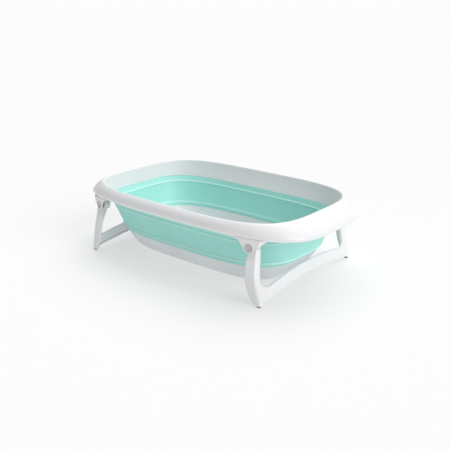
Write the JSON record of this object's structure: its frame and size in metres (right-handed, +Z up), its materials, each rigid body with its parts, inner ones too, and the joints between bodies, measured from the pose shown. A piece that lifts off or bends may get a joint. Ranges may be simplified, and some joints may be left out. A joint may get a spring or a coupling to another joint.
{
  "type": "baby bathtub",
  "caption": "Collapsible baby bathtub: a wide rigid rim, a soft folding wall, a rigid floor pan with a drain, and folding U-shaped end legs.",
  "frame": {"origin": "on the floor plane, under the middle of the tub", "axes": "+X along the length towards the right end, +Y across the width away from the front long side, +Z up"},
  "size_m": [0.82, 0.5, 0.215],
  "materials": {
    "rim_white": "satin white moulded polypropylene",
    "mint_tpe": "soft mint-green thermoplastic elastomer, matte satin",
    "pan_pale": "satin pale grey-white moulded polypropylene",
    "button_grey": "satin warm light grey plastic",
    "foot_rubber": "matte dark grey rubber",
    "seal_grey": "matte light grey silicone",
    "steel": "bright zinc-plated steel"
  },
  "bodies": {
    "rim": {"rim_frame": "rim_white", "bowl_wall": "mint_tpe", "hinge_bracket_right_front": "rim_white", "hinge_pin_right_front": "steel", "button_spring_right_front": "steel", "bracket_screw_1_right_front": "steel", "bracket_screw_2_right_front": "steel", "hinge_bracket_right_back": "rim_white", "hinge_pin_right_back": "steel", "button_spring_right_back": "steel", "bracket_screw_1_right_back": "steel", "bracket_screw_2_right_back": "steel", "hinge_bracket_left_front": "rim_white", "hinge_pin_left_front": "steel", "button_spring_left_front": "steel", "bracket_screw_1_left_front": "steel", "bracket_screw_2_left_front": "steel", "hinge_bracket_left_back": "rim_white", "hinge_pin_left_back": "steel", "button_spring_left_back": "steel", "bracket_screw_1_left_back": "steel", "bracket_screw_2_left_back": "steel"},
    "base": {"base_pan": "pan_pale", "drain_collar": "pan_pale", "drain_seal": "seal_grey", "drain_nut": "pan_pale"},
    "plug": {"drain_plug": "seal_grey"},
    "leg_right_frame": {"leg_right": "rim_white", "foot_pad_right_front": "foot_rubber", "foot_pad_right_back": "foot_rubber"},
    "leg_left_frame": {"leg_left": "rim_white", "foot_pad_left_front": "foot_rubber", "foot_pad_left_back": "foot_rubber"},
    "button_right_front": {"release_button_right_front": "button_grey"},
    "button_right_back": {"release_button_right_back": "button_grey"},
    "button_left_front": {"release_button_left_front": "button_grey"},
    "button_left_back": {"release_button_left_back": "button_grey"}
  },
  "joints": [
    {"name": "bowl_collapse", "type": "slide", "parent": "rim", "child": "base", "axis": [0, 0, 1], "range_m": [0, 0.134], "deforming": ["bowl_wall"]},
    {"name": "leg_right_fold", "type": "hinge", "parent": "rim", "child": "leg_right_frame", "pos_m": [0.285, 0, 0.1545], "axis": [0, 1, 0], "range_deg": [0, 90]},
    {"name": "leg_left_fold", "type": "hinge", "parent": "rim", "child": "leg_left_frame", "pos_m": [-0.285, 0, 0.1545], "axis": [0, -1, 0], "range_deg": [0, 90]},
    {"name": "plug_lift", "type": "slide", "parent": "base", "child": "plug", "axis": [0, 0, 1], "range_m": [0, 0.03]},
    {"name": "button_press_right_front", "type": "slide", "parent": "rim", "child": "button_right_front", "axis": [0, 1, 0], "range_m": [0, 0.004], "stiffness_N_per_m": 400, "springref_m": -0.003, "deforming": ["button_spring_right_front"]},
    {"name": "button_press_right_back", "type": "slide", "parent": "rim", "child": "button_right_back", "axis": [0, -1, 0], "range_m": [0, 0.004], "stiffness_N_per_m": 400, "springref_m": -0.003, "deforming": ["button_spring_right_back"]},
    {"name": "button_press_left_front", "type": "slide", "parent": "rim", "child": "button_left_front", "axis": [0, 1, 0], "range_m": [0, 0.004], "stiffness_N_per_m": 400, "springref_m": -0.003, "deforming": ["button_spring_left_front"]},
    {"name": "button_press_left_back", "type": "slide", "parent": "rim", "child": "button_left_back", "axis": [0, -1, 0], "range_m": [0, 0.004], "stiffness_N_per_m": 400, "springref_m": -0.003, "deforming": ["button_spring_left_back"]}
  ],
  "couplings": [
    {"joint": "leg_right_fold", "follows": "bowl_collapse", "rad_per_m": 11.722},
    {"joint": "leg_left_fold", "follows": "bowl_collapse", "rad_per_m": 11.722}
  ]
}
